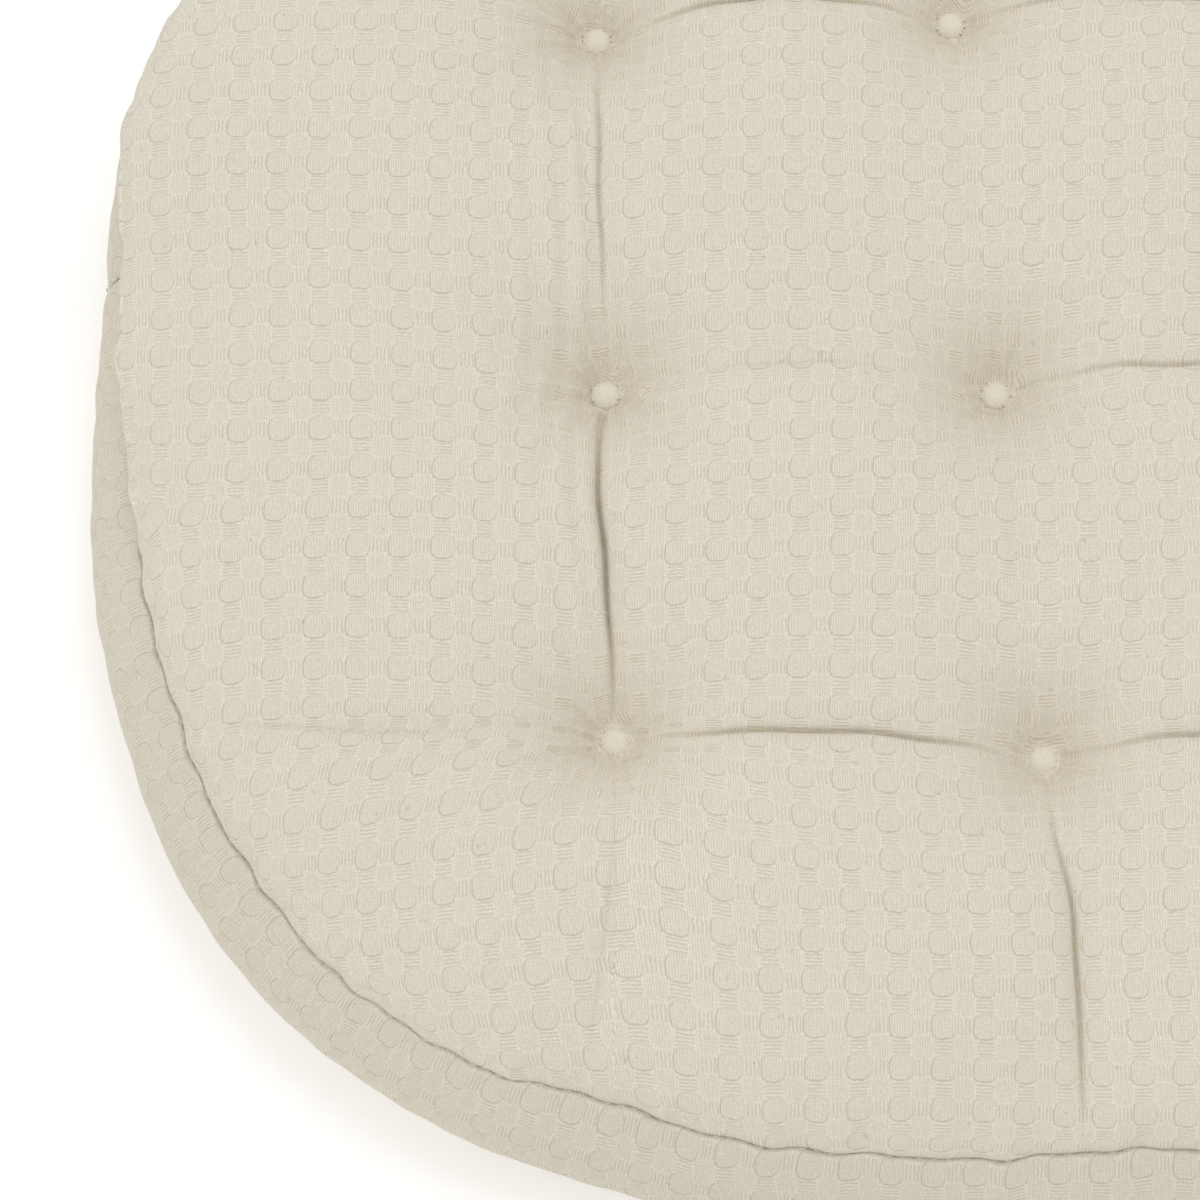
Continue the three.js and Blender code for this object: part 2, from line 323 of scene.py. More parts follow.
def seam_lift(angle):
    """The top seam's slow rise and fall, up to a millimetre."""
    turn = rim_turn(angle)
    return (0.6 * np.sin(7 * turn + 0.4) + 0.4 * np.sin(13 * turn + 1.9)) * MM


def pucker(angle):
    """Small gathers along a seam: a sum of sines that close round the outline, from -1 to 1 or so."""
    turn = rim_turn(angle)
    return sum(
        size * np.sin(count * turn + phase + 0.8 * np.sin(5 * turn + phase)) for count, phase, size in PUCKER_WAVES
    )


def lagrange(nodes, at):
    """Weights of the polynomial through the nodes, one row for each place."""
    at = np.asarray(at, float)
    weights = np.ones((len(at), len(nodes)))
    for i, node in enumerate(nodes):
        for other in nodes:
            if other != node:
                weights[:, i] *= (at - other) / (node - other)
    return weights


def smooth_weights(count, at):
    """Catmull-Rom weights from an even grid of count points over -1 to 1, one row for each place."""
    place = (np.asarray(at, float) + 1) / 2 * (count - 1)
    cell = np.clip(np.floor(place).astype(int), 0, count - 2)
    f = place - cell
    parts = (
        (-1, (-f + 2 * f**2 - f**3) / 2),
        (0, (2 - 5 * f**2 + 3 * f**3) / 2),
        (1, (f + 4 * f**2 - 3 * f**3) / 2),
        (2, (-(f**2) + f**3) / 2),
    )
    weights = np.zeros((len(cell), count))
    rows = np.arange(len(cell))
    for offset, part in parts:
        column = cell + offset
        below, above = column < 0, column > count - 1
        inside = ~(below | above)
        np.add.at(weights, (rows[inside], column[inside]), part[inside])
        for edge, sign, out in ((0, 1, below), (count - 1, -1, above)):
            np.add.at(weights, (rows[out], np.full(out.sum(), edge)), 2 * part[out])
            np.add.at(weights, (rows[out], np.full(out.sum(), edge + sign)), -part[out])
    return weights


def gathered_steps(lines, lengths, fine, coarse, reach, samples=2000):
    """Places from -1 to 1 that fall exactly on each line and stand closer together beside it.
    The step grows from fine to coarse over the reach, on each side, and every span has a multiple of four steps."""
    places = [np.array([lines[0]])]
    for start, end, length in zip(lines[:-1], lines[1:], lengths):
        fraction = np.linspace(0, 1, samples + 1)
        nearest = np.minimum(fraction, 1 - fraction) * length
        step = fine + (coarse - fine) * ease(nearest / reach)
        count = np.concatenate([[0.0], np.cumsum((1 / step[1:] + 1 / step[:-1]) / 2 * length / samples)])
        cells = int(math.ceil(count[-1] / 4)) * 4
        picked = np.interp(np.linspace(0, count[-1], cells + 1), count, fraction)
        places.append(start + (end - start) * picked[1:])
    return np.concatenate(places)


def harmonic_fill(front, rear, left, right):
    """Smoothest fill of a square grid from its four edges: each inner point is the mean of its neighbours.
    Solved exactly with the sine modes of a row."""
    size = len(front)
    inner = size - 2
    number = np.arange(1, inner + 1)
    modes = np.sqrt(2 / (inner + 1)) * np.sin(np.outer(number, number) * math.pi / (inner + 1))
    values = 2 - 2 * np.cos(number * math.pi / (inner + 1))
    grid = np.zeros((size, size, 2))
    grid[0], grid[-1], grid[:, 0], grid[:, -1] = front, rear, left, right
    for axis in range(2):
        known = np.zeros((inner, inner))
        known[0] += grid[0, 1:-1, axis]
        known[-1] += grid[-1, 1:-1, axis]
        known[:, 0] += grid[1:-1, 0, axis]
        known[:, -1] += grid[1:-1, -1, axis]
        shares = modes @ known @ modes / (values[:, None] + values[None, :])
        grid[1:-1, 1:-1, axis] = modes @ shares @ modes
    return grid


def plan_grid(size, inset):
    """Plan positions of an even cloth grid inside the seam, rows from front to rear and columns from left to right.
    The edges follow the seam, the inside is a harmonic fill, and a quartic shift brings the tuft lines onto the
    tufts. Squared sines bow the rows between tufts and beside the side seams, and slow sines make every line waver.
    The left column bows to the left, and the middle column steps to the right on its way to the front."""
    corner = math.atan2(CORNER[1], CORNER[0])
    share = np.linspace(-1, 1, size)
    weights = lagrange(GRID_LINES, share)

    def edge(first, side, last):
        ends = [a + (math.tau if side == "left" and a < 0 else 0) for a in LINE_END_ANGLES[side]]
        angle = weights @ np.array([first, *ends, last])
        return rim_point(angle, inset + seam_pull(angle))[0]

    grid = harmonic_fill(
        edge(-math.pi + corner, "front", -corner),
        edge(math.pi - corner, "rear", corner),
        edge(math.pi + corner, "left", math.pi - corner),
        edge(-corner, "right", corner),
    )
    pick = smooth_weights(size, LINES)
    shift = np.zeros((len(GRID_LINES), len(GRID_LINES), 2))
    shift[1:-1, 1:-1] = TUFT_PLACES - spread(pick, pick, grid)
    grid = grid + spread(weights, weights, shift)

    line = LINES[2]
    u, v = share[None, :], share[:, None]
    inner = np.sin(math.pi * u / line) ** 2 * (np.abs(u) < line)
    outer = np.sin(math.pi * unit((np.abs(u) - line) / (1 - line))) ** 2
    grid[..., 1] += ROW_BOW * np.cos(math.pi * v / 2) * inner
    grid[..., 1] -= OUTER_BOW * np.sin(math.pi * unit(-v / line / 2)) ** 2 * outer
    free = (1 - u**2) * (1 - v**2) * MM
    grid[..., 0] += free * (0.3 * np.sin(3 * math.pi * v / line) + 0.25 * np.sin(7 * math.pi * v / line))
    grid[..., 1] += free * (0.4 * np.sin(3 * math.pi * u / line) + 0.3 * np.sin(8 * math.pi * u / line))
    bowed = np.sin(math.pi * unit(-v / line) ** 0.6) ** 2
    grid[..., 0] -= COLUMN_BOW * bowed * bell(u - LINES[0], BEND_REACH)
    out = unit((LINES[0] - v) / (1 + LINES[0]))
    grid[..., 0] += FRONT_JOG * (ease((out - 0.2) / 0.3) - out) * bell(u, BEND_REACH)
    return grid


def fine_plan(inset, across, along):
    """The plan grid at uneven places, taken from an even grid."""
    even = plan_grid(EVEN_LINES, inset)
    return spread(smooth_weights(EVEN_LINES, along), smooth_weights(EVEN_LINES, across), even)


def line_steps(fine, coarse, reach):
    """Grid places along one side, closer together at the seams and the tuft lines."""
    outer = HALF_WIDTH - SEAM_INSET - TUFT_SPACING
    return gathered_steps(GRID_LINES, (outer, TUFT_SPACING, TUFT_SPACING, outer), fine, coarse, reach)


# ---- the padding's shape ----


def crease_profile(gap, strength, depth):
    """Depth of a crease at a gap from its line: a broad Gaussian dip, a narrower cusp whose width falls with strength,
    and in strong creases a slit where the two sides meet."""
    broad = (0.22 + 0.22 * strength) * bell(gap, 19 * MM)
    width = (7.0 - 3.4 * strength) * MM
    cusp = (0.03 + 0.51 * strength) * bell(np.hypot(gap, 0.3 * MM), width, 0.95)
    closed = np.clip((strength - 0.38) / 0.5, 0, 1.2)
    slit = 0.33 * closed * bell(gap, (0.38 + 0.16 * closed) * MM, 1.5)
    return depth * (broad + cusp + slit)


def strength_along(strengths, at):
    """A crease's strength along its line: level within each of the four spans, with a smooth step at each tuft, and
    in the two outer spans weaker near the tuft than at the seam."""
    value = np.full(len(at), float(strengths[0]))
    for line, before, after in zip(LINES, strengths[:-1], strengths[1:]):
        value += (after - before) * ease((at - line) / 0.12 + 0.5)
    outward = unit((np.abs(at) - LINES[2]) / 0.25)
    return value * np.where(np.abs(at) <= LINES[2], 1.0, 0.72 + 0.28 * outward)


def edge_distance(plan):
    """Distance in from the seam: the distances along the grid to its four edges, joined as 1/sqrt(sum of 1/d^2)."""
    edges = (plan[:1], plan[-1:], plan[:, :1], plan[:, -1:])
    far = sum(1 / (((plan - edge) ** 2).sum(-1) + 1e-12) for edge in edges)
    return 1 / np.sqrt(far)


def nearest_index(places, line):
    """Number of the grid line that stands nearest to a tuft line."""
    return int(np.argmin(np.abs(places - line)))


def line_gaps(plan, across, along):
    """Distance of each point from the three columns' tuft lines, and from the three rows'."""
    columns = [nearest_index(across, line) for line in LINES]
    rows = [nearest_index(along, line) for line in LINES]
    return [apart(plan, plan[:, i:i + 1]) for i in columns], [apart(plan, plan[i:i + 1]) for i in rows]


def tuft_gaps(plan):
    """Distance of each point from the rim of each tuft, 0 under the tuft."""
    return [np.maximum(apart(plan, place) - TUFT_RADIUS, 0) for place in TUFT_LIST]


def dips(plan, across, along, crease_depth, tuft_depth, reach):
    """How far the padding lies below its crown: creases along each tuft line and a dimple at each tuft, joined as
    a power sum, so that the deeper one rules. The left and right creases spread further on their outer side."""
    power = 2.4
    total = np.zeros(plan.shape[:2])
    columns, rows = line_gaps(plan, across, along)
    for name, line, gap in zip(COLUMNS, LINES, columns):
        strength = strength_along(COLUMN_CREASES[name], along)[:, None]
        if name != "middle":
            outside = np.abs(across) > abs(line)
            gap = gap * np.where(outside, 1 - 0.3 * unit(gap / (9 * MM)), 1.0)
        total += crease_profile(gap, strength, crease_depth) ** power
    for name, gap in zip(SIDES, rows):
        strength = strength_along(ROW_CREASES[name], across)[None, :]
        total += crease_profile(gap, strength, crease_depth) ** power
    for away in tuft_gaps(plan):
        total += (tuft_depth * bell(away, reach, 1.08)) ** power
    return np.minimum(total ** (1 / power), tuft_depth)


def gathers(plan, size):
    """Small folds that run out from each tuft: cosines round it, strongest just outside the ring and longest towards
    the nearer side seam."""
    total = np.zeros(plan.shape[:2])
    for number, place in enumerate(TUFT_LIST):
        offset = plan - place
        away = np.linalg.norm(offset, axis=-1) / MM
        turn = np.arctan2(offset[..., 1], offset[..., 0])
        fold = np.cos(11 * turn + number + 1.3 * np.sin(2 * turn + number)) + 0.5 * np.cos(6 * turn - 2 * number)
        outward = np.sign(round(place[0] / (40 * MM))) * np.cos(turn)
        long = 10 + 2.5 * np.cos(3 * turn + 2 * number) + 11 * unit(outward)
        total += fold * (away / 9) ** 0.5 * bell(away, long) * unit((away - 3.3) / 2)
    return total * size


def side_folds(plan, across, along, size):
    """Lengthwise wrinkles beside the left column's creases: a cosine of the gap from the line, dying away with it,
    on the outer side."""
    column = nearest_index(across, LINES[0])
    gap = apart(plan, plan[:, column:column + 1]) / MM
    strength = np.interp(along, *SIDE_FOLD_STRENGTHS)
    wander = 0.9 * np.sin(along * 9)[:, None]
    wave = np.cos(math.tau * (gap / 6.6 + wander * 0.3)) * bell(gap, 13, 1) * unit(gap / 4)
    return size * wave * strength[:, None] * (np.arange(len(across)) < column)[None, :]


def slow_waves(plan, size):
    """Uneven filling: a few crossed sines a few centimetres long."""
    x, y = plan[..., 0] / MM, plan[..., 1] / MM
    waves = (
        np.sin(x / 13 + 0.7 * np.sin(y / 21)) * np.sin(y / 15 + 1.3),
        np.sin(x / 7.5 - y / 19 + 2.0) * np.sin(y / 9.5 + x / 31),
        np.sin((x + y) / 9 + 0.4) * np.sin((x - y) / 24),
    )
    return size * (0.5 * waves[0] + 0.3 * waves[1] + 0.2 * waves[2])


def top_surface(plan, across, along):
    """The top cloth, and how deep each point lies in a hollow. Height rises from the seam as 1 - (1 - d)^2.6 to a power
    between 0.55 and 0.77, less the dips. Beside the seam the cloth rolls outwards and puckers, and its edge turns down
    into the seam."""
    shape = bpy.context.scene.seatpad_shape
    inward = edge_distance(plan)
    angle = np.arctan2(plan[..., 1], plan[..., 0])
    roll = np.interp(np.degrees(angle), *np.array(ROLL_AT).T)
    tight = unit((6 - roll) / 4.5)
    rise = (1 - (1 - unit(inward / shape.puff_run)) ** 2.6) ** (0.55 + 0.22 * tight)
    crown = CROWN_HEIGHT - CROWN_SLACK
    dip = dips(plan, across, along, shape.crease_depth, crown - TUFT_LEVEL, shape.dimple_reach)
    height = SEAM_HEIGHT + (crown - SEAM_HEIGHT) * rise - dip * unit(rise) ** 1.4
    wave = pucker(angle) * bell(inward, 4.5 * MM, 1.2) * (1 - bell(inward, 1.2 * MM, 1))
    wrinkles = gathers(plan, 0.9 * MM) + slow_waves(plan, 0.8 * MM) + side_folds(plan, across, along, 0.7 * MM)
    height += wrinkles * unit(inward / (20 * MM)) + 0.8 * MM * wave
    height += seam_lift(angle) * bell(inward, 14 * MM, 1)
    height -= TOP_SLIT_DEPTH * bell(inward, 0.34 * MM, 1.5)
    bend = unit(inward / (34 * MM)) ** (0.5 + 0.5 * tight)
    out = shape.roll * MM * roll * np.sin(math.pi * bend) + 0.5 * MM * wave
    points = np.empty((*plan.shape[:2], 3))
    points[..., :2] = plan + rim_point(angle)[1] * out[..., None]
    points[..., 2] = height
    return points, np.minimum(dip / shape.crease_depth, 1.3) + seam_hollow(inward)


def seam_hollow(gap):
    """How deep cloth lies in the hollow along a seam, from 0.6 at the seam."""
    return 0.6 * bell(gap, 1.5 * MM, 1)


def cloth_lie(points, repeat, rounds=700, give=0.18, momentum=0.93):
    """Where each point of a coarse surface lies in the flat cloth, in repeats of the weave. A net of springs is laid
    out flat: threads along both grid directions keep their length on the surface, while the diagonals give easily,
    as cloth shears. It is relaxed in rounds with momentum."""
    flat = points[..., :2] * 1.02
    speed = np.zeros_like(flat)
    links = []
    for rows, columns, stiffness in ((0, 1, 1.0), (1, 0, 1.0), (1, 1, 0.12), (1, -1, 0.12)):
        a = (slice(0, flat.shape[0] - rows), slice(max(0, -columns), flat.shape[1] - max(0, columns)))
        b = (slice(rows, flat.shape[0]), slice(max(0, columns), flat.shape[1] - max(0, -columns)))
        links.append((a, b, apart(points[b], points[a]), stiffness * give))
    for _ in range(rounds):
        push = np.zeros_like(flat)
        for a, b, length, stiffness in links:
            span = flat[b] - flat[a]
            pull = (stiffness * (1 - length / np.linalg.norm(span, axis=-1)))[..., None] * span
            push[a] += pull
            push[b] -= pull
        speed = momentum * speed + push
        flat = flat + speed
    return flat / repeat


def uneven_lie(plan):
    """How far the cloth is shifted along itself, in metres: slow crossed sines all over, and in front of the front
    left tuft a pull towards it and a shear to the right, which fall off as Gaussians to either side."""
    x, y = plan[..., 0], plan[..., 1]
    tuft_x, tuft_y = TUFT_PLACES[0, 0]
    reach = np.where(x < tuft_x, 60 * MM, 22 * MM)
    lower = np.maximum(tuft_y - y, 0)
    below = unit((tuft_y + 4 * MM - y) / (12 * MM))
    pull = 12 * MM * bell(x - tuft_x, reach) * below * bell(lower, 80 * MM, 1)
    shear = 0.38 * lower * bell(lower, 42 * MM) * bell(x - tuft_x + 12 * MM, reach)
    across = 0.7 * MM * np.sin(y / (23 * MM) + 0.7 * np.sin(x / (27 * MM))) + shear
    along = 0.8 * MM * np.sin(x / (17 * MM) + 0.9 * np.sin(y / (23 * MM)) + 1.0) - pull
    return np.stack([across, along], -1)


def weave_height(lie):
    """Relief of the weave from 0 to 1, about 0.3 on the plain ground: each round cell is a shallow superellipse dome,
    higher at its lower left than at its upper right, and the float blocks between cells are low bumps."""
    signed = (lie + 0.5) % 1 - 0.5
    near = np.abs(signed)
    far = 0.5 - near
    cell = (near[..., 0] / 0.31) ** 3 + (near[..., 1] / 0.31) ** 3
    dome = unit(1 - cell) ** 0.5 * (0.42 - 0.9 * (signed[..., 0] + signed[..., 1]))
    upright = bell(far[..., 0], 0.18, 4) * bell(near[..., 1], 0.16, 4)
    level = bell(near[..., 0], 0.18, 4) * bell(far[..., 1], 0.15, 4)
    return 0.3 + dome * 0.7 + (0.3 * upright + 0.34 * level) * (cell > 1)


# ---- meshes ----


def surface_normals(points):
    """Unit normals of a grid of points: the cross product of its column and row differences."""
    normal = np.cross(np.gradient(points, axis=1), np.gradient(points, axis=0))
    return normal / (np.linalg.norm(normal, axis=-1, keepdims=True) + 1e-15)


def grid_quads(rows, columns, start=0):
    """Quads of a grid numbered row by row, anticlockwise seen from its normal."""
    corner = (np.arange(rows - 1)[:, None] * columns + np.arange(columns - 1)[None, :]).ravel() + start
    return np.stack([corner, corner + 1, corner + columns + 1, corner + columns], -1)


def edge_loop(rows, columns, start=0):
    """Grid points round the edge, anticlockwise."""
    index = np.arange(rows * columns).reshape(rows, columns)
    return np.concatenate([index[0, :-1], index[:-1, -1], index[-1, :0:-1], index[:0:-1, 0]]) + start


def make_piece(name, points, faces, lie=None):
    """A smooth-shaded mesh object at the origin from points and arrays of equal faces. The cloth's lie and how deep
    it lies in a hollow become two UV maps."""
    mesh = bpy.data.meshes.new(name)
    corners = np.concatenate([f.ravel() for f in faces]).astype(np.int32)
    sizes = np.concatenate([np.full(len(f), f.shape[1]) for f in faces]).astype(np.int32)
    mesh.vertices.add(len(points))
    mesh.vertices.foreach_set("co", np.ascontiguousarray(points, np.float32).ravel())
    mesh.loops.add(len(corners))
    mesh.loops.foreach_set("vertex_index", corners)
    mesh.polygons.add(len(sizes))
    mesh.polygons.foreach_set("loop_start", np.concatenate([[0], np.cumsum(sizes)[:-1]]).astype(np.int32))
    mesh.polygons.foreach_set("loop_total", sizes)
    mesh.polygons.foreach_set("use_smooth", np.ones(len(sizes), bool))
    if lie is not None:
        for map_name, values in (("weave", lie[:, :2]), ("hollow", lie[:, [2, 2]])):
            layer = mesh.uv_layers.new(name=map_name)
            layer.uv.foreach_set("vector", np.ascontiguousarray(values[corners], np.float32).ravel())
    mesh.update(calc_edges=True)
    mesh.validate()
    piece = bpy.data.objects.new(name, mesh)
    bpy.context.scene.collection.objects.link(piece)
    return piece


def cloth_shell(name, points, lie, step=4):
    """A closed cloth: the fine outer face, an inner face through every step-th point moved in by the cloth's
    thickness, and a rim of triangles that joins the two."""
    rows, columns = points.shape[:2]
    inner = (points - CLOTH * surface_normals(points))[::step, ::step]
    inner_rows, inner_columns = inner.shape[:2]
    first = rows * columns
    outer_loop = edge_loop(rows, columns)
    inner_loop = edge_loop(inner_rows, inner_columns, start=first)
    inner_next = np.roll(inner_loop, -1)
    half = np.arange(len(outer_loop)) % step < step // 2
    apex = np.where(half, np.repeat(inner_loop, step), np.repeat(inner_next, step))
    rim = np.stack([np.roll(outer_loop, -1), outer_loop, apex], -1)
    bridge = np.stack([outer_loop[step // 2::step], inner_loop, inner_next], -1)
    faces = [
        grid_quads(rows, columns),
        grid_quads(inner_rows, inner_columns, first)[:, ::-1],
        np.concatenate([rim, bridge]),
    ]
    all_points = np.concatenate([points.reshape(-1, 3), inner.reshape(-1, 3)])
    all_lie = np.concatenate([lie.reshape(-1, 3), lie[::step, ::step].reshape(-1, 3)])
    return make_piece(name, all_points, faces, all_lie)


def tube_faces(rings, sides):
    """Quads between a tube's rings and a fan over each end."""
    ring = np.arange(rings - 1)[:, None] * sides
    side = np.arange(sides)[None, :]
    after = (side + 1) % sides
    corner = [ring + side, ring + sides + side, ring + sides + after, ring + after]
    last = (rings - 1) * sides
    fan = np.arange(1, sides - 1)
    low = np.stack([np.zeros_like(fan), fan, fan + 1], -1)
    high = np.stack([np.full_like(fan, last), last + fan + 1, last + fan], -1)
    return np.stack([c.ravel() for c in corner], -1), np.concatenate([low, high])


def capsules(first, last, lift, radius, sides=6, rings=7):
    """Closed stitches from first to last points: a path that rises by sin(pi s) of the lift, inside a tube whose
    radius is the root of 1 - s^4, with s from -1 to 1 along it. Returns points and faces of them all."""
    share = np.linspace(0, 1, rings)[None, :, None]
    path = first[:, None] * (1 - share) + last[:, None] * share + lift[:, None] * np.sin(math.pi * share)
    forward = np.gradient(path, axis=1)
    forward /= np.linalg.norm(forward, axis=-1, keepdims=True)
    sideways = np.cross(forward, np.broadcast_to(lift[:, None], path.shape))
    sideways /= np.linalg.norm(sideways, axis=-1, keepdims=True)
    upward = np.cross(sideways, forward)
    size = radius * np.maximum(1 - np.linspace(-1, 1, rings) ** 4, 0.06) ** 0.5
    turn = np.arange(sides) * math.tau / sides
    ring = sideways[:, :, None] * np.cos(turn)[:, None] + upward[:, :, None] * np.sin(turn)[:, None]
    points = path[:, :, None] + ring * size[None, :, None, None]
    quads, ends = tube_faces(rings, sides)
    starts = (np.arange(len(first)) * rings * sides)[:, None, None]
    return points.reshape(-1, 3), [(quads[None] + starts).reshape(-1, 4), (ends[None] + starts).reshape(-1, 3)]


def joined(parts):
    """Several sets of points and faces as one, with the faces renumbered."""
    start = 0
    points, faces = [], []
    for some, its_faces in parts:
        points.append(some)
        faces += [f + start for f in its_faces]
        start += len(some)
    return np.concatenate(points), faces


def turned(profile, sides, waves=0.0, count=1, phase=0.0):
    """A closed body of revolution: radius and height pairs carried round the axis, with a cosine wave on the
    radius."""
    turn = np.arange(sides) * math.tau / sides
    radius = profile[:, 0][:, None] * (1 + waves * np.cos(count * turn + phase))[None, :]
    height = np.broadcast_to(profile[:, 1][:, None], radius.shape)
    points = np.stack([radius * np.cos(turn), radius * np.sin(turn), height], -1).reshape(-1, 3)
    quads, ends = tube_faces(len(profile), sides)
    return points, [quads[:, ::-1], ends[:, ::-1]]


# ---- materials ----


class Nodes:
    """Short hands for building a material's nodes."""

    def __init__(self, name):
        self.material = bpy.data.materials.new(name)
        self.material.use_nodes = True
        self.tree = self.material.node_tree
        self.shader = next(n for n in self.tree.nodes if n.type == "BSDF_PRINCIPLED")

    def add(self, kind, **values):
        node = self.tree.nodes.new(kind)
        for key, value in values.items():
            setattr(node, key, value)
        return node

    def link(self, value, socket):
        if isinstance(value, bpy.types.NodeSocket):
            self.tree.links.new(value, socket)
        else:
            socket.default_value = value

    def texture(self, kind, place, numbers, **values):
        """A texture at a place, with its numbered inputs set."""
        node = self.add(kind, **values)
        self.link(place, node.inputs["Vector"])
        for key, number in numbers.items():
            node.inputs[key].default_value = number
        return node

    def math(self, operation, *values, clamp=False):
        node = self.add("ShaderNodeMath", operation=operation, use_clamp=clamp)
        for value, socket in zip(values, node.inputs):
            self.link(value, socket)
        return node.outputs[0]

    def bell(self, value, middle, reach):
        """exp(-((value - middle) / reach)^2)"""
        gap = self.math("DIVIDE", self.math("SUBTRACT", value, middle), reach)
        return self.math("EXPONENT", self.math("MULTIPLY", self.math("MULTIPLY", gap, gap), -1.0))

    def superellipse(self, across, along, half_across, half_along, power):
        """((across / half_across)^power + (along / half_along)^power)^(1 / power), which is 1 on the outline."""
        first = self.math("POWER", self.math("DIVIDE", across, half_across), power)
        second = self.math("POWER", self.math("DIVIDE", along, half_along), power)
        return self.math("POWER", self.math("ADD", first, second), 1 / power)

    def ramp(self, value, low, high, start=0.0, end=1.0):
        """Smooth step of the value between low and high."""
        node = self.add("ShaderNodeMapRange", interpolation_type="SMOOTHSTEP")
        for socket, number in zip(node.inputs, (value, low, high, start, end)):
            self.link(number, socket)
        return node.outputs[0]

    def block(self, across, along, half_across, half_along, soft=0.012):
        """1 inside a soft-edged rectangle, 0 outside."""
        return self.math(
            "MULTIPLY",
            self.ramp(across, half_across - soft, half_across + soft, 1, 0),
            self.ramp(along, half_along - soft, half_along + soft, 1, 0),
        )

    def threads(self, place, period):
        """Round threads side by side: 1 on each thread's back, 0 between two."""
        wave = self.math("COSINE", self.math("MULTIPLY", place, math.tau / period))
        return self.math("MULTIPLY_ADD", wave, 0.5, 0.5)

    def mix(self, share, first, second):
        node = self.add("ShaderNodeMix", data_type="RGBA")
        for value, number in ((share, 0), (first, 6), (second, 7)):
            self.link(value, node.inputs[number])
        return node.outputs[2]

    def noise(self, place, scale, detail=2.0):
        return self.texture("ShaderNodeTexNoise", place, {"Scale": scale, "Detail": detail}).outputs[0]

    def object_place(self):
        return self.add("ShaderNodeTexCoord").outputs["Object"]

    def bump(self, height, distance):
        node = self.add("ShaderNodeBump")
        node.inputs["Strength"].default_value = 1.0
        node.inputs["Distance"].default_value = distance
        self.link(height, node.inputs["Height"])
        self.link(node.outputs[0], self.shader.inputs["Normal"])

    def finished(self, colour, **values):
        """The material, with its colour and its fixed values."""
        self.link(colour, self.shader.inputs["Base Color"])
        for key, value in values.items():
            self.shader.inputs[key.replace("_", " ")].default_value = value
        return self.material


def full(colour, shade=(1.0, 1.0, 1.0)):
    """A colour times a shade, with alpha 1."""
    return (*(c * s for c, s in zip(colour, shade)), 1.0)


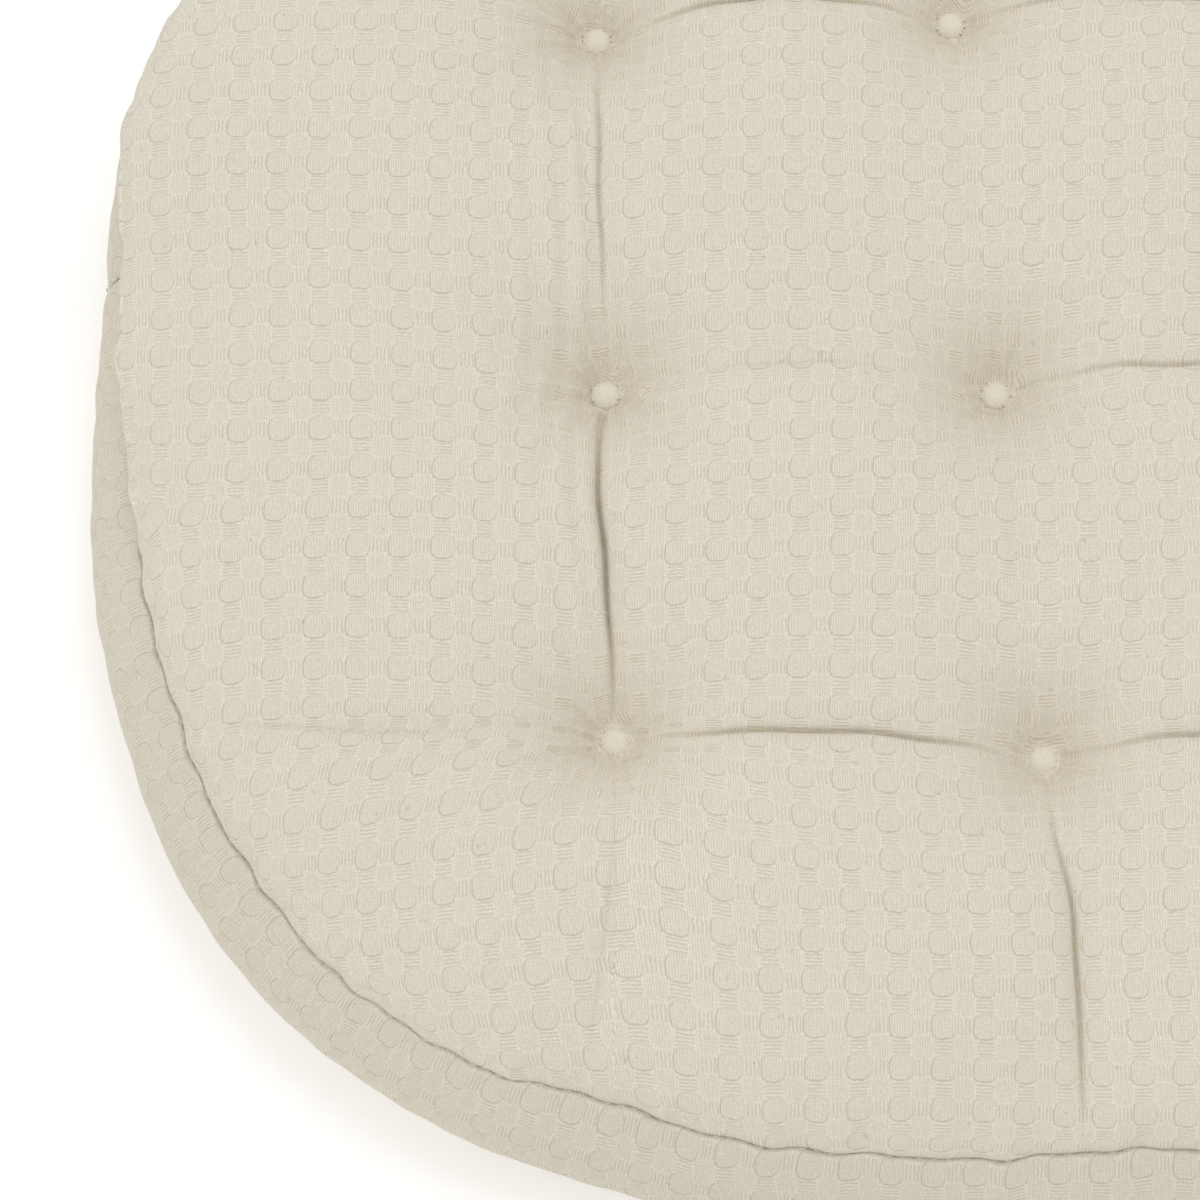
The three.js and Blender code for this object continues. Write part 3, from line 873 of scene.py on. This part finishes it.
def woven_cloth(name, colour):
    """Waffle weave on the cloth's own lie: a ground of fine ribs, round cells outlined by a dotted groove that is
    deeper at their lower left, blocks of long floats between the cells, pinholes, slubs and slow changes of colour.
    The colour holds painted light and shade: the grooves, most at the cells' lower left, and the gaps between threads
    are darkened as painted shade, and the halo round each cell and the backs of the ribs and floats are lightened as
    painted highlight. In the hollows, which the second map gives, the grooves fade and the colour is darker and warmer,
    as painted shade."""
    nodes = Nodes(name)
    plus, less, times, scaled, absolute = (
        partial(nodes.math, kind) for kind in ("ADD", "SUBTRACT", "MULTIPLY", "MULTIPLY_ADD", "ABSOLUTE")
    )
    lie = nodes.add("ShaderNodeUVMap", uv_map="weave").outputs[0]
    wobble = nodes.texture("ShaderNodeTexNoise", lie, {"Scale": 9.0, "Detail": 2.0}, noise_dimensions="2D")
    shift = nodes.add("ShaderNodeVectorMath", operation="MULTIPLY_ADD")
    for value, socket in zip((wobble.outputs["Color"], (0.06, 0.06, 0.0), lie), shift.inputs):
        nodes.link(value, socket)
    split = nodes.add("ShaderNodeSeparateXYZ")
    nodes.link(shift.outputs[0], split.inputs[0])
    u, v = split.outputs[0], split.outputs[1]
    hollow = nodes.add("ShaderNodeSeparateXYZ")
    nodes.link(nodes.add("ShaderNodeUVMap", uv_map="hollow").outputs[0], hollow.inputs[0])
    hollow = hollow.outputs[0]
    place = nodes.object_place()
    fuzz = nodes.noise(place, 1700.0, 2.0)

    # Distances from the middle of the nearest cell, in repeats: with a sign, without, and from half-way between cells.
    side_u, side_v = (less(nodes.math("FRACT", plus(value, 0.5)), 0.5) for value in (u, v))
    near_u, near_v = absolute(side_u), absolute(side_v)
    far_u, far_v = less(0.5, near_u), less(0.5, near_v)

    # The cell leans a little. Its groove is at 1, with a raised halo round it.
    cell = nodes.superellipse(absolute(scaled(side_v, -0.04, side_u)), near_v, 0.285, 0.30, 3.0)
    ring = nodes.bell(cell, 1.0, 0.054)
    halo = nodes.bell(cell, 1.17, 0.075)
    # lower_left makes the groove deeper in the bump and darker in the colour at the cells' lower left; that darkening
    # is painted shade, as if lit from the upper right.
    lower_left = nodes.ramp(plus(side_u, side_v), 0.34, -0.20, 0.42, 1.0)
    outside = nodes.ramp(cell, 0.98, 1.10)
    plain = nodes.superellipse(far_u, far_v, 0.22, 0.27, 3.4)
    inside = plus(nodes.ramp(cell, 0.8, 0.98, 1, 0), nodes.ramp(plain, 0.86, 1.04, 1, 0), clamp=True)

    # Blocks of long floats between the cells, and the ground's fine ribs.
    upright = times(nodes.block(far_u, near_v, 0.19, 0.175), outside)
    level = times(nodes.block(near_u, far_v, 0.215, 0.165), outside)
    floats = plus(upright, level)
    ground = less(1.0, floats)
    ribs, picks = nodes.threads(u, 1 / 17), nodes.threads(v, 1 / 13)
    fine = scaled(ribs, 0.8, times(picks, 0.2))
    upright_floats, level_floats = nodes.threads(plus(u, 0.046), 0.092), nodes.threads(plus(v, 0.042), 0.084)
    long = scaled(upright, upright_floats, times(level, level_floats))
    shaded_float_gaps = less(floats, long)
    dotted = times(nodes.ramp(fuzz, 0.25, 0.6, 0.45, 1.25), scaled(plus(ribs, picks), 0.6, 0.4))
    groove = times(times(times(ring, lower_left), dotted), nodes.ramp(hollow, 0.6, 1.1, 1, 0.15))

    relief = times(ground, scaled(fine, 0.32, 0.33))
    relief = scaled(long, 0.6, scaled(floats, 0.25, relief))
    relief = scaled(groove, -0.42, scaled(halo, 0.2, relief))
    nodes.bump(scaled(fuzz, 0.25, relief), 0.17 * MM)

    corner_u, corner_v = less(near_u, 0.27), less(near_v, 0.27)
    corner = plus(times(corner_u, corner_u), times(corner_v, corner_v))
    pinhole = times(nodes.ramp(corner, 0.0002, 0.0016, 1, 0), nodes.ramp(fuzz, 0.5, 0.62))
    slub = nodes.ramp(nodes.noise(place, 430.0, 1.0), 0.745, 0.775)
    # Painted light and shade: the grooves are darkened as painted shade, the halo is lightened as painted highlight,
    # the float backs are lightened and the gaps between them darkened, and the rib backs are lighter than the dips
    # between them.
    shade = scaled(groove, -0.2, scaled(inside, -0.032, 1.025))
    shade = scaled(times(halo, ground), 0.035, shade)
    shade = scaled(shaded_float_gaps, -0.115, scaled(long, 0.075, shade))
    shade = scaled(times(ground, less(fine, 0.5)), 0.25, shade)
    shade = scaled(pinhole, -0.16, shade)
    for spots, strength, rest in ((nodes.noise(place, 18.0, 3.0), 0.05, 0.975), (fuzz, 0.26, 0.87), (slub, -0.13, 1.0)):
        shade = times(shade, scaled(spots, strength, rest))
    # The deep tint darkens and warms the grooves and the float gaps, as painted shade; the warm tint does the same in
    # the hollows.
    cool, deep, painted_hollow_shade = (full(colour, s) for s in ((0.99, 0.995, 1.0), (0.99, 0.97, 0.93), (0.965, 0.925, 0.85)))
    tint = nodes.mix(plus(groove, shaded_float_gaps, clamp=True), nodes.mix(inside, full(colour), cool), deep)
    # Painted shade: the colour is darkened and warmed in the creases, dimples and along the seams, as far as the hollow
    # map says.
    tint = nodes.mix(nodes.ramp(hollow, 0.3, 1.3, 0.0, 0.2), tint, painted_hollow_shade)
    shaded = nodes.add("ShaderNodeVectorMath", operation="SCALE")
    nodes.link(tint, shaded.inputs[0])
    nodes.link(shade, shaded.inputs["Scale"])
    return nodes.finished(
        shaded.outputs[0], Roughness=0.95, Sheen_Weight=0.06, Sheen_Roughness=0.5, Specular_IOR_Level=0.12
    )


def spun_thread(name, colour):
    """Twisted cotton thread: a fine slanted ripple and slow changes of colour."""
    nodes = Nodes(name)
    place = nodes.object_place()
    twist = {"Scale": 700.0, "Distortion": 2.0}
    wave = nodes.texture("ShaderNodeTexWave", place, twist, bands_direction="DIAGONAL")
    nodes.bump(wave.outputs["Fac"], 0.08 * MM)
    shade = nodes.mix(nodes.noise(place, 160.0), full(colour, [0.94] * 3), full(colour))
    return nodes.finished(shade, Roughness=0.85, Sheen_Weight=0.1, Specular_IOR_Level=0.2)


def open_foam(name, colour):
    """Open-cell foam: small pits from a cell texture, darkened towards the middle of each pit as painted shade."""
    nodes = Nodes(name)
    cells = nodes.texture("ShaderNodeTexVoronoi", nodes.object_place(), {"Scale": 650.0}).outputs["Distance"]
    nodes.bump(cells, 0.4 * MM)
    # Painted shade: darker in the pits, where the bump is low.
    shade = nodes.mix(nodes.ramp(cells, 0.1, 0.6), full(colour, [0.8] * 3), full(colour))
    return nodes.finished(shade, Roughness=0.9, Specular_IOR_Level=0.2)


def loose_wadding(name, colour):
    """Bonded fibre wadding: tangled fibres from two noises, darker where the fibres lie low, as painted shade."""
    nodes = Nodes(name)
    place = nodes.object_place()
    fibres = nodes.math("ADD", nodes.noise(place, 260.0, 6.0), nodes.noise(place, 900.0, 4.0))
    nodes.bump(fibres, 0.8 * MM)
    # Painted shade: darker where the fibre bump lies low.
    shade = nodes.mix(nodes.ramp(fibres, 0.7, 1.3), full(colour, [0.86] * 3), full(colour))
    return nodes.finished(shade, Roughness=1.0, Sheen_Weight=0.2, Specular_IOR_Level=0.1)


def studio_floor(name, colour):
    """Matt painted board with a faint mottle, lit a little from inside so that it stays pale."""
    nodes = Nodes(name)
    shade = nodes.mix(nodes.noise(nodes.object_place(), 6.0), full(colour, [0.985] * 3), full(colour))
    glow = {"Emission_Color": (1, 1, 1, 1), "Emission_Strength": 0.16}
    return nodes.finished(shade, Roughness=0.9, Specular_IOR_Level=0.1, **glow)


# Each material's maker, and the colour it takes from the panel.
MATERIALS = {
    "cover_cotton": (woven_cloth, "cover"),
    # The band material is the cover's weave in the band colour, darkened as painted shade.
    "band_cotton": (woven_cloth, "band"),
    "sewing_cotton": (spun_thread, "thread"),
    "tuft_cotton": (spun_thread, "thread"),
    "cushion_foam": (open_foam, "foam"),
    "soft_wadding": (loose_wadding, "wadding"),
    "studio_floor": (studio_floor, "floor"),
}


def material(name):
    """The named material, made once."""
    maker, colour = MATERIALS[name]
    return bpy.data.materials.get(name) or maker(name, tuple(getattr(bpy.context.scene.seatpad_colours, colour)))


def finish_piece(piece, material_name, node):
    """Gives a piece its material and slot, lets it ride the pad, and hides the CAD node it stands for."""
    piece.data.materials.append(material(material_name))
    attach(piece, "root")
    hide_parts(node)


# ---- the pad's pieces ----


def band_surface(start, end, base, top, step):
    """A stretch of the side band between two polar angles, with its lie. Across the strip it bulges as a parabola
    between its seams, puckers beside them and turns in under them, and at its top edge it also turns down into the
    seam. Its two ends turn in at the joins."""
    first, last = along_rim(start), along_rim(end) + (RIM_LENGTH if end >= math.pi else 0)
    length, rise = last - first, top - base
    across = gathered_steps((-1.0, 1.0), (length,), 0.3 * MM, step, 3 * MM)
    along = gathered_steps((0.0, 1.0), (rise * BAND_ARC,), 0.25 * MM, step, 3 * MM)
    here = first + (across + 1) / 2 * length
    turn = angle_at(here)
    lean = (2 * along - 1)[:, None]
    pull = seam_pull(turn)[None, :] * (0.45 + 0.55 * lean**2) * np.where(lean < 0, 0.75, 1.0)
    inset = SEAM_INSET * lean**2 + pull
    gap = np.minimum(along, 1 - along)[:, None] * rise
    inset -= 0.95 * MM * pucker(turn)[None, :] * bell(gap, 6 * MM, 1) * (1 - bell(gap, 1.0 * MM, 1))
    edge = bell(gap, 0.5 * MM, 1.5)
    inset += np.where(lean < 0, 2.4, 0.35) * MM * edge
    end_gap = np.minimum(here - first, last - here)[None, :]
    inset += 1.2 * MM * bell(end_gap, 0.7 * MM, 1) + 0.5 * MM * bell(end_gap, 5 * MM, 1)
    waviness = 0.35 * MM * np.sin(here / (17 * MM))[None, :] * np.sin(math.pi * along)[:, None]
    flat, _ = rim_point(np.broadcast_to(turn, inset.shape), inset - waviness)
    upper = lean > 0
    height = (base + rise * along)[:, None] + seam_lift(turn)[None, :] * upper * np.abs(lean) ** 3
    height = height - BAND_SLIT_DEPTH * edge * upper
    points = with_third(flat, height)
    up = (along * rise * BAND_ARC)[:, None] + 2.2 * MM
    lie = np.stack(np.broadcast_arrays(here[None, :], up), -1) / bpy.context.scene.seatpad_weave.repeat
    return points, with_third(lie, seam_hollow(gap))


def underside_surface(plan, across, along):
    """The underside cloth, seen from below: flat on the floor, up to the seam at its edge, with a dimple at each
    tuft and faint hollows along the tuft lines."""
    inward = edge_distance(plan)
    angle = np.arctan2(plan[..., 1], plan[..., 0])
    depth = UNDER_TUFT_LEVEL - 0.1 * MM
    dip = np.sqrt(sum((depth * bell(away, 7 * MM, 1.2)) ** 2 for away in tuft_gaps(plan)))
    columns, rows = line_gaps(plan, across, along)
    hollows = 0.45 * MM * np.max([bell(gap, 6 * MM) for gap in columns + rows], axis=0)
    edge = BAND_BASE * bell(inward, 6 * MM, 1.3) + 1.2 * MM * bell(inward, 0.7 * MM, 1)
    wave = 0.35 * MM * pucker(angle) * bell(inward, 4 * MM, 1) * (1 - bell(inward, 1 * MM, 1))
    height = np.maximum(dip, hollows * (1 - bell(inward, 12 * MM, 1))) + edge + np.maximum(wave, 0)
    return with_third(plan, height)


class SEATPAD_OT_top(bpy.types.Operator):
    """The tufted top cloth, with its creases and dimples, over its own layer of wadding"""

    bl_idname = "seatpad.top"
    bl_label = "Top cloth"

    def execute(self, context):
        shape = context.scene.seatpad_shape
        weave = context.scene.seatpad_weave
        factor = 1.0
        places = line_steps(shape.fine_step * factor, shape.coarse_step * factor, 7 * MM)
        plan = fine_plan(SEAM_INSET + 0.2 * MM, places, places)
        points, hollow = top_surface(plan, places, places)
        back = even_from(places, np.linspace(-1, 1, LIE_LINES))
        lie = cloth_lie(spread(back, back, points), weave.repeat)
        weights = smooth_weights(LIE_LINES, places)
        lie = spread(weights, weights, lie) + uneven_lie(plan) / weave.repeat
        relief = weave_height(lie) * weave.relief * unit(1.6 - 1.2 * hollow)
        points = points + surface_normals(points) * relief[..., None]
        piece = cloth_shell("top_cover", points, with_third(lie, hollow))
        finish_piece(piece, "cover_cotton", "top_panel")

        even = np.linspace(-1, 1, FILLING_LINES)
        under = fine_plan(SEAM_INSET + 2.4 * MM, even, even)
        layer, _ = top_surface(under, even, even)
        foam_top = box("foam_core")[1][2]
        layer[..., 2] = np.maximum(layer[..., 2] - 3.2 * MM, foam_top + 0.6 * MM)
        layer[..., :2] = under
        low = layer.copy()
        low[..., 2] = foam_top + 0.2 * MM
        filling = slab("top_filling", layer, low)
        finish_piece(filling, "soft_wadding", "top_wadding")
        return {"FINISHED"}


def even_from(places, even):
    """Straight-line weights that read values at uneven places for even ones."""
    cell = np.clip(np.searchsorted(places, even, side="right") - 1, 0, len(places) - 2)
    share = (even - places[cell]) / (places[cell + 1] - places[cell])
    weights = np.zeros((len(even), len(places)))
    rows = np.arange(len(even))
    weights[rows, cell] = 1 - share
    weights[rows, cell + 1] += share
    return weights


def slab(name, high, low):
    """A closed layer between two grids of the same size."""
    rows, columns = high.shape[:2]
    first = rows * columns
    loop, lower = edge_loop(rows, columns), edge_loop(rows, columns, start=first)
    side = np.stack([loop, lower, np.roll(lower, -1), np.roll(loop, -1)], -1)
    faces = [grid_quads(rows, columns), grid_quads(rows, columns, first)[:, ::-1], side]
    return make_piece(name, np.concatenate([high.reshape(-1, 3), low.reshape(-1, 3)]), faces)


class SEATPAD_OT_bands(bpy.types.Operator):
    """The front and rear side bands, sewn together at the left and right"""

    bl_idname = "seatpad.bands"
    bl_label = "Side bands"

    def execute(self, context):
        step = 0.82 * MM
        right = JOIN_ANGLES["right"]
        for name, start, end in (
            ("front_band", math.pi - right, math.tau + right),
            ("rear_band", right, math.pi - right),
        ):
            points, lie = band_surface(start, end, BAND_BASE, SEAM_HEIGHT, step)
            finish_piece(cloth_shell(f"{name}_cloth", points, lie), "band_cotton", name)
        return {"FINISHED"}


class SEATPAD_OT_underside(bpy.types.Operator):
    """The underside cloth"""

    bl_idname = "seatpad.underside"
    bl_label = "Underside cloth"

    def execute(self, context):
        weave = context.scene.seatpad_weave
        places = line_steps(0.7 * MM, (1.6) * MM, 5 * MM)
        points = underside_surface(fine_plan(SEAM_INSET, places, places), places, places)[:, ::-1]
        lie = points * [1, 1, 0] / weave.repeat
        points = points + surface_normals(points) * (weave_height(lie) * 0.5 * weave.relief)[..., None]
        points[..., 2] = np.maximum(points[..., 2], 0)
        piece = cloth_shell("underside_cloth", points, lie)
        finish_piece(piece, "cover_cotton", "bottom_panel")
        return {"FINISHED"}


def stitches(name, ends, normal, out, up, node):
    """Stitches in sewing thread between two sets of ends, arched outwards and upwards."""
    points, faces = capsules(*ends, with_third(normal * out, up), STITCH_RADIUS)
    piece = make_piece(name, points, faces)
    finish_piece(piece, "sewing_cotton", node)


class SEATPAD_OT_seams(bpy.types.Operator):
    """The stitches of the two seams round the pad and of the two joins in the band"""

    bl_idname = "seatpad.seams"
    bl_label = "Seam stitches"

    def execute(self, context):
        count = int(RIM_LENGTH / STITCH_PITCH)
        start = np.arange(count) * RIM_LENGTH / count
        for name, level, lifted, share, inset, up in (
            ("top", SEAM_HEIGHT - 1.5 * MM, 1, 1.0, 0.3 * MM, 0.1 * MM),
            ("bottom", BAND_BASE - 0.4 * MM, 0, 0.75, 1.1 * MM, -0.05 * MM),
        ):
            ends = []
            for where in (start, start + STITCH_LENGTH):
                angle = angle_at(where)
                flat, normal = rim_point(angle, SEAM_INSET + share * seam_pull(angle) + inset)
                height = level + lifted * seam_lift(angle)
                ends.append(with_third(flat, height))
            stitches(f"{name}_seam_stitches", ends, normal, 0.25 * MM, up, f"{name}_seam_thread")
        count = 12
        share = (np.arange(count) + 0.25) / count
        for side, join_angle in JOIN_ANGLES.items():
            angle = np.full(count, join_angle)
            ends = []
            for where in (share, share + 0.055):
                lean = 2 * where - 1
                pull = seam_pull(angle) * (0.45 + 0.55 * lean**2)
                flat, normal = rim_point(angle, SEAM_INSET * lean**2 + pull + 0.8 * MM)
                height = BAND_BASE + (SEAM_HEIGHT - BAND_BASE) * where
                ends.append(with_third(flat, height))
            stitches(f"{side}_join_stitches", ends, normal, 0.2 * MM, 0.0, f"{side}_join_thread")
        return {"FINISHED"}


class SEATPAD_OT_tufts(bpy.types.Operator):
    """The nine tufts: a stitched cap above and below, with the thread that draws them together"""

    bl_idname = "seatpad.tufts"
    bl_label = "Tufts"

    def execute(self, context):
        share = np.sin(np.linspace(0.04, 1, 11) * math.pi / 2)
        dome = np.stack([TUFT_RADIUS * share, 0.8 * TUFT_DOME * (1 - share**2.6) ** 0.8], -1)
        skirt = np.array([[0.99, -0.4], [0.9, -0.9], [0.6, -1.1], [0.0, -1.1]]) * [TUFT_RADIUS, MM]
        skirt[-1, 0] = 0.1 * MM
        profile = np.concatenate([dome, skirt])[::-1]
        number = np.arange(TUFT_STITCHES)
        for row, row_name in enumerate(SIDES):
            for column, column_name in enumerate(COLUMNS):
                phase = 1.3 * row + 2.1 * column
                turn = (number + 0.3 * np.sin(number * 2.3 + phase)) * math.tau / TUFT_STITCHES + phase
                out = np.stack([np.cos(turn), np.sin(turn), 0 * turn], -1)
                start = out * TUFT_RADIUS * 0.74 + [0, 0, 0.5 * MM]
                end = out * TUFT_RADIUS * 1.08 + [0, 0, -0.25 * MM]
                thread = capsules(start, end, out * 0.3 * MM + [0, 0, 0.35 * MM], 0.2 * MM, 7, 9)
                cap, faces = joined([turned(profile, 40, 0.03, TUFT_STITCHES, -TUFT_STITCHES * phase), thread])
                upper = cap + [0, 0, TUFT_LEVEL], faces
                lower = cap * [1, 1, -1] + [0, 0, UNDER_TUFT_LEVEL], [f[:, ::-1] for f in faces]
                stem = turned(np.array([[0.9 * MM, UNDER_TUFT_LEVEL], [0.9 * MM, TUFT_LEVEL]]), 12)
                points, faces = joined([upper, lower, stem])
                points = points + [*TUFT_PLACES[row, column], 0]
                piece = make_piece(f"{row_name}_{column_name}_tuft", points, faces)
                finish_piece(piece, "tuft_cotton", f"tuft_{row_name}_{column_name}")
        return {"FINISHED"}


def ringed_slab(name, base, top, inset, sides=240, levels=9):
    """A closed layer inside the bands: rings from the middle of its base out to its rounded side and back over its
    top. The side follows the band's bulge and its notches at a steady inset."""
    turn = np.linspace(-math.pi, math.pi, sides, endpoint=False)
    share = np.linspace(0, 1, levels)
    height = base + (top - base) * share
    lean = 2 * (height - BAND_BASE) / (SEAM_HEIGHT - BAND_BASE) - 1
    edge = SEAM_INSET * lean**2 + inset + 1.5 * MM * np.abs(2 * share - 1) ** 6
    rim, _ = rim_point(np.broadcast_to(turn, (levels, sides)), edge[:, None] + seam_pull(turn)[None, :])
    side = with_third(rim, height[:, None])
    shrink = np.array([0.01, 0.25, 0.5, 0.75, 0.93])[:, None, None] * [1, 1, 0] + [0, 0, 1]
    rings = np.concatenate([side[:1] * shrink, side, side[-1:] * shrink[::-1]])
    quads, ends = tube_faces(len(rings), sides)
    return make_piece(name, rings.reshape(-1, 3), [quads[:, ::-1], ends[:, ::-1]])


class SEATPAD_OT_filling(bpy.types.Operator):
    """The foam core, and the lower wadding, which follows the underside's dimples"""

    bl_idname = "seatpad.filling"
    bl_label = "Filling"

    def execute(self, context):
        low, high = box("foam_core")
        foam = ringed_slab("foam_slab", low[2], high[2], 3.6 * MM)
        finish_piece(foam, "cushion_foam", "foam_core")

        places = line_steps(1.1 * MM, 5 * MM, 10 * MM)
        base = underside_surface(fine_plan(SEAM_INSET + 3 * MM, places, places), places, places)
        base[..., 2] += CLOTH + 0.4 * MM
        top = base.copy()
        top[..., :2] = fine_plan(SEAM_INSET * 0.45 + 4 * MM, places, places)
        top[..., 2] = box("bottom_wadding")[1][2]
        lower = slab("lower_filling", top, base)
        finish_piece(lower, "soft_wadding", "bottom_wadding")
        return {"FINISHED"}


CAMERA_TARGET = np.array([-88.2, -52.6, 45.0]) * MM
CAMERA_DISTANCE = 950 * MM
CAMERA_ELEVATION = math.radians(73)
HALF_VIEW = 130.9 * MM
SENSOR = 36.0

# Name, place, size and power of each light, which faces the origin.
LIGHTS = (
    ("key_light", (0.5, 0.65, 2.4), 1.5, 14.5),
    ("fill_light", (-1.4, -0.6, 1.6), 2.4, 8.0),
)
LIGHT_COLOUR = (0.985, 0.995, 1.0)
WORLD_COLOUR = (1.0, 0.985, 0.952, 1.0)
WORLD_STRENGTH = 0.74
FLOOR_HALF = 3.0
FLOOR_LINES = 9


class SEATPAD_OT_stage(bpy.types.Operator):
    """The pale floor, soft lights and the camera"""

    bl_idname = "seatpad.stage"
    bl_label = "Stage"

    def execute(self, context):
        scene = context.scene
        share = np.linspace(-FLOOR_HALF, FLOOR_HALF, FLOOR_LINES)
        x, y = np.meshgrid(share, share)
        points = np.stack([x, y, np.full_like(x, -0.05 * MM)], -1).reshape(-1, 3)
        floor = make_piece("floor", points, [grid_quads(FLOOR_LINES, FLOOR_LINES)])
        floor.data.materials.append(material("studio_floor"))

        for name, place, size, power in LIGHTS:
            light = bpy.data.lights.new(name, "AREA")
            light.shape = "DISK"
            light.size = size
            light.energy = power
            light.color = LIGHT_COLOUR
            lamp = bpy.data.objects.new(name, light)
            lamp.location = place
            x, y, z = place
            lamp.rotation_euler = (math.atan2(math.hypot(x, y), z), 0, math.atan2(x, -y))
            scene.collection.objects.link(lamp)
        world = bpy.data.worlds.new("studio")
        world.use_nodes = True
        background = next(n for n in world.node_tree.nodes if n.type == "BACKGROUND")
        background.inputs["Color"].default_value = WORLD_COLOUR
        background.inputs["Strength"].default_value = WORLD_STRENGTH
        scene.world = world
        scene.view_settings.view_transform = "Standard"

        lens = bpy.data.cameras.new("camera")
        lens.sensor_width = SENSOR
        lens.lens = SENSOR * CAMERA_DISTANCE / (2 * HALF_VIEW)
        camera = bpy.data.objects.new("camera", lens)
        back = np.array([0, -math.cos(CAMERA_ELEVATION), math.sin(CAMERA_ELEVATION)])
        camera.location = CAMERA_TARGET + CAMERA_DISTANCE * back
        camera.rotation_euler = (math.pi / 2 - CAMERA_ELEVATION, 0, 0)
        scene.collection.objects.link(camera)
        scene.camera = camera
        return {"FINISHED"}


OPERATORS = (
    SEATPAD_OT_top,
    SEATPAD_OT_bands,
    SEATPAD_OT_underside,
    SEATPAD_OT_seams,
    SEATPAD_OT_tufts,
    SEATPAD_OT_filling,
    SEATPAD_OT_stage,
)


class SEATPAD_PT_panel(bpy.types.Panel):
    """Lists the pad's sizes and colours and the pieces that can be built"""

    bl_label = "Seat pad"
    bl_idname = "SEATPAD_PT_panel"
    bl_space_type = "VIEW_3D"
    bl_region_type = "UI"
    bl_category = "Seat pad"

    def draw(self, context):
        layout = self.layout
        for group in (context.scene.seatpad_shape, context.scene.seatpad_weave, context.scene.seatpad_colours):
            for key in group.bl_rna.properties.keys():
                if key not in ("rna_type", "name"):
                    layout.prop(group, key)
        for operator in OPERATORS:
            layout.operator(operator.bl_idname)


CLASSES = (PadShape, PadWeave, PadColours, *OPERATORS, SEATPAD_PT_panel)


def register():
    for cls in CLASSES:
        bpy.utils.register_class(cls)
    bpy.types.Scene.seatpad_shape = bpy.props.PointerProperty(type=PadShape)
    bpy.types.Scene.seatpad_weave = bpy.props.PointerProperty(type=PadWeave)
    bpy.types.Scene.seatpad_colours = bpy.props.PointerProperty(type=PadColours)


def unregister():
    for name in ("seatpad_shape", "seatpad_weave", "seatpad_colours"):
        delattr(bpy.types.Scene, name)
    for cls in reversed(CLASSES):
        bpy.utils.unregister_class(cls)


def main():
    register()
    for operator in OPERATORS:
        group, name = operator.bl_idname.split(".")
        getattr(getattr(bpy.ops, group), name)()


if __name__ == "__main__":
    main()
